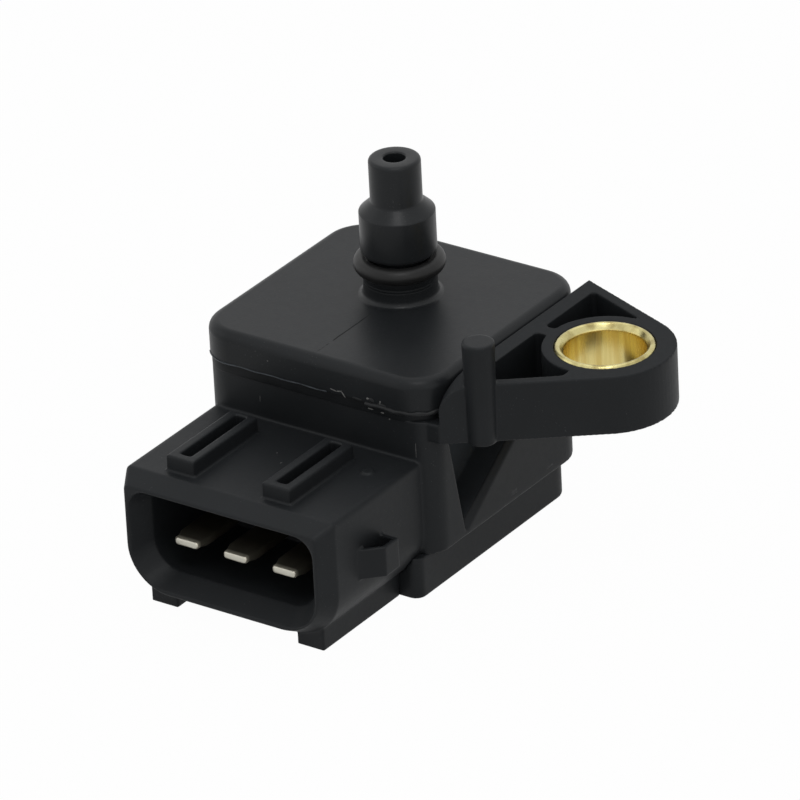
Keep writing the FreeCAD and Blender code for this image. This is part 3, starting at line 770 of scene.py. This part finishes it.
def make_lumps(name, material, marks):
    """Specks and drops: each mark is a place, a size and a turn about Y in degrees."""
    mesh = bpy.data.meshes.new(name + "_places")
    mesh.from_pydata([tuple(mm(*place)) for place, _, _ in marks], [], [])
    sizes = mesh.attributes.new("size", "FLOAT_VECTOR", "POINT")
    turns = mesh.attributes.new("turn", "FLOAT_VECTOR", "POINT")
    for k, (_, size, turn) in enumerate(marks):
        sizes.data[k].vector = mm(*size)
        turns.data[k].vector = (0, math.radians(turn), 0)
    piece = worked(add_object(name, mesh), LUMPS, Wander=mm(0.06), Lump=mm(0.22), Finish=material)
    face_outwards(piece.data)
    piece.data.shade_smooth()
    return piece


def make_blades():
    """Three flat blades with rounded tips; each turns up at its back end through the housing's web."""
    x = (BLADE_LOW.x + BLADE_HIGH.x) / 2
    z = BLADE_LOW.z + mm(BLADE_THICK / 2)
    bend = mm(0.9)
    end = BLADE_HIGH.y - mm(BLADE_THICK / 2)
    tip = ((0, 1.96, 0.40), (0.06, 2.22, 0.60), (0.2, 2.38, 0.70), (0.6, 2.42, 0.72),
           (1.3, BLADE_WIDTH, BLADE_THICK))
    stations = [(BLADE_LOW.y + mm(behind), z, 0, width, thick) for behind, width, thick in tip]
    stations.append((end - bend * 2, z, 0, BLADE_WIDTH, BLADE_THICK))
    for tilt in range(0, 91, 15):
        a = math.radians(tilt)
        stations.append((end - bend + bend * math.sin(a), z + bend * (1 - math.cos(a)), tilt, TAIL_WIDTH,
                         BLADE_THICK))
    stations.append((end, BLADE_HIGH.z, 90, TAIL_WIDTH, BLADE_THICK))
    rings = []
    for y, height, tilt, width, thick in stations:
        a = math.radians(tilt)
        half_width, half_thick = mm(width / 2), mm(thick / 2)
        rounding = mm(thick * (0.4 if y < BLADE_LOW.y + bend else 0.2))
        across = rounded_ring(-half_width, half_width, -half_thick, half_thick, rounding, 0, steps=4)
        rings.append([Vector((x + p.x, y - p.y * math.sin(a), height + p.y * math.cos(a))) for p in across])
    blade = skinned("blades", rings)
    smooth(blade.data, limit=40)
    return worked(blade, ROW, Count=3, Step=(mm(PITCH), 0.0, 0.0), Finish=finish["tin"])


# Camera, light and ground
def towards(azimuth, elevation):
    """Direction from the object, in radians: azimuth 0 is in front, and it grows to the right."""
    return Vector((math.sin(azimuth) * math.cos(elevation), -math.cos(azimuth) * math.cos(elevation),
                   math.sin(elevation)))


def make_camera():
    azimuth, elevation, roll = (math.radians(v) for v in (AZIMUTH, ELEVATION, ROLL))
    back = towards(azimuth, elevation)
    right = Vector((math.cos(azimuth), math.sin(azimuth), 0))
    up = back.cross(right)
    turned_right = right * math.cos(roll) - up * math.sin(roll)
    turned_up = right * math.sin(roll) + up * math.cos(roll)
    data = bpy.data.cameras.new("camera")
    data.sensor_width = SENSOR
    data.lens = LENS
    data.clip_start = 0.05
    data.clip_end = 20
    camera = add_object("camera", data)
    matrix = camera.matrix_world.to_3x3()
    matrix.col[0] = turned_right
    matrix.col[1] = turned_up
    matrix.col[2] = back
    camera.matrix_world = matrix.to_4x4()
    camera.location = mm(*CAMERA_PLACE)
    scene.camera = camera


def panel(name, azimuth, elevation, distance, size, power, colour):
    """Square soft panel that looks at the object."""
    data = bpy.data.lights.new(name, "AREA")
    data.size = size
    data.energy = power
    data.color = colour
    lamp = add_object(name, data)
    away = towards(math.radians(azimuth), math.radians(elevation))
    lamp.location = mm(*LIT_CENTRE) + away * distance
    lamp.rotation_mode = "QUATERNION"
    lamp.rotation_quaternion = (-away).to_track_quat("-Z", "Y")


def make_world():
    """White to the camera and in reflections, and dimmer as light."""
    world = bpy.data.worlds.new("studio")
    scene.world = world
    world.use_nodes = True
    tree = world.node_tree
    back = tree.nodes["Background"]
    path = tree.nodes.new("ShaderNodeLightPath")
    seen = Socket(tree, path.outputs["Is Camera Ray"]).math("MAXIMUM", path.outputs["Is Glossy Ray"])
    put(tree, back.inputs["Strength"], seen * (1 - AMBIENT) + AMBIENT)
    back.inputs["Color"].default_value = (1, 1, 1, 1)


def make_floor():
    size, z = FLOOR_SIZE, FLOOR_Z - mm(0.01)
    corners = [(-size, -size, z), (size, -size, z), (size, size, z), (-size, size, z)]
    mesh = bpy.data.meshes.new("floor")
    mesh.from_pydata(corners, [], [(0, 1, 2, 3)])
    floor = add_object("floor", mesh)
    material = bpy.data.materials.new("floor_white")
    material.use_nodes = True
    tree = material.node_tree
    tree.nodes.clear()
    out = tree.nodes.new("ShaderNodeOutputMaterial")
    matt = tree.nodes.new("ShaderNodeBsdfDiffuse")
    matt.inputs["Color"].default_value = (0.90, 0.90, 0.895, 1)
    glow = tree.nodes.new("ShaderNodeEmission")
    glow.inputs["Color"].default_value = (1, 1, 1, 1)
    glow.inputs["Strength"].default_value = 1.0
    path = tree.nodes.new("ShaderNodeLightPath")
    mix = tree.nodes.new("ShaderNodeMixShader")
    seen = Socket(tree, path.outputs["Is Camera Ray"]) * FLOOR_SEEN
    mirrored = Socket(tree, path.outputs["Is Glossy Ray"]) * FLOOR_MIRRORED
    put(tree, mix.inputs[0], seen.math("MAXIMUM", mirrored))
    tree.links.new(matt.outputs[0], mix.inputs[1])
    tree.links.new(glow.outputs[0], mix.inputs[2])
    tree.links.new(mix.outputs[0], out.inputs[0])
    mesh.materials.append(material)


def colour_inside():
    """Finishes of the CAD nodes that stay as they are."""
    slots = {node["node"]: node["material_slot"] for node in frame["record"]["subparts"]
             if "material_slot" in node}
    own = {"housing_plastic": "housing", "cover_plastic": "lid", "base_plastic": "base",
           "seal_rubber": "rubber", "bushing_brass": "brass", "terminal_metal": "tin", "adhesive": "glue"}
    for name, item in nodes.items():
        slot = slots.get(name, "housing_plastic")
        item.data.materials.clear()
        item.data.materials.append(finish[own.get(slot, slot)])


# Small marks: place, half size and turn about Y, in millimetres and degrees
FRONT = -14.33           # the lid's front face
GLUE_MARKS = (
    ((-17.85, FRONT, -2.33), (0.34, 0.05, 0.05), 12), ((-17.25, FRONT, -2.30), (0.30, 0.05, 0.05), -14),
    ((-16.82, FRONT, -2.52), (0.30, 0.05, 0.05), 50), ((-14.35, FRONT, -2.26), (0.13, 0.05, 0.10), 0),
    ((-13.10, FRONT, -2.33), (0.07, 0.05, 0.20), 8),
    ((-14.30, -14.05, -3.32), (0.28, 0.06, 0.07), 4), ((-13.10, -14.05, -3.38), (0.17, 0.06, 0.06), -6),
    ((-12.45, -13.99, -3.85), (0.07, 0.05, 0.06), 0),
)
DUST_MARKS = (
    ((-3.56, -9.19, -5.28), (0.10, 0.06, 0.08), 0), ((-23.36, -13.96, -7.75), (0.08, 0.04, 0.10), 20),
    ((-21.05, -18.41, -7.24), (0.05, 0.10, 0.03), 0), ((-19.72, -19.70, -7.24), (0.05, 0.16, 0.03), 0),
    ((-24.53, FRONT, -1.31), (0.07, 0.03, 0.07), 0), ((-9.33, -11.06, 0.10), (0.10, 0.10, 0.05), 0),
    ((-25.84, -13.95, -5.4), (0.03, 0.02, 0.32), 3), ((-9.97, -13.91, -6.2), (0.035, 0.02, 0.7), 0),
)
WET_MARKS = (
    ((-14.0, FRONT, -2.34), (0.28, 0.06, 0.24), 20), ((-12.9, FRONT, -2.55), (0.45, 0.05, 0.16), 6),
    ((-15.4, FRONT, -2.55), (0.5, 0.05, 0.10), 2),
)


make_camera()
make_world()
for each in PANELS:
    panel(*each)
make_floor()
colour_inside()
dress(make_housing(), None, "housing_plastic", "housing")
dress(moulded("base_shell", "base_cover", most=60000), finish["base"], "base_plastic", "base_cover")
dress(make_lid(), finish["lid"], "cover_plastic", "top_cover")
dress(make_nipple(), finish["nipple"], "cover_plastic")
dress(make_ring(), finish["rubber"], "seal_rubber", "nipple_o_ring")
dress(make_bushing(), finish["brass"], "bushing_brass", "flange_bushing")
dress(make_seam(), finish["glue"], "adhesive", "top_adhesive")
dress(make_squeezed_glue(), finish["wet_glue"], "adhesive")
dress(make_flash(), finish["flash"], "cover_plastic")
dress(make_lumps("glue_specks", finish["pale_glue"], GLUE_MARKS), finish["pale_glue"], "adhesive")
dress(make_lumps("wet_drops", finish["wet_glue"], WET_MARKS), finish["wet_glue"], "adhesive")
dress(make_lumps("dust_specks", finish["dust"], DUST_MARKS), finish["dust"], "housing_plastic")
dress(make_blades(), finish["tin"], "terminal_metal", "terminal_left", "terminal_centre", "terminal_right")

scene.view_settings.view_transform = "Standard"
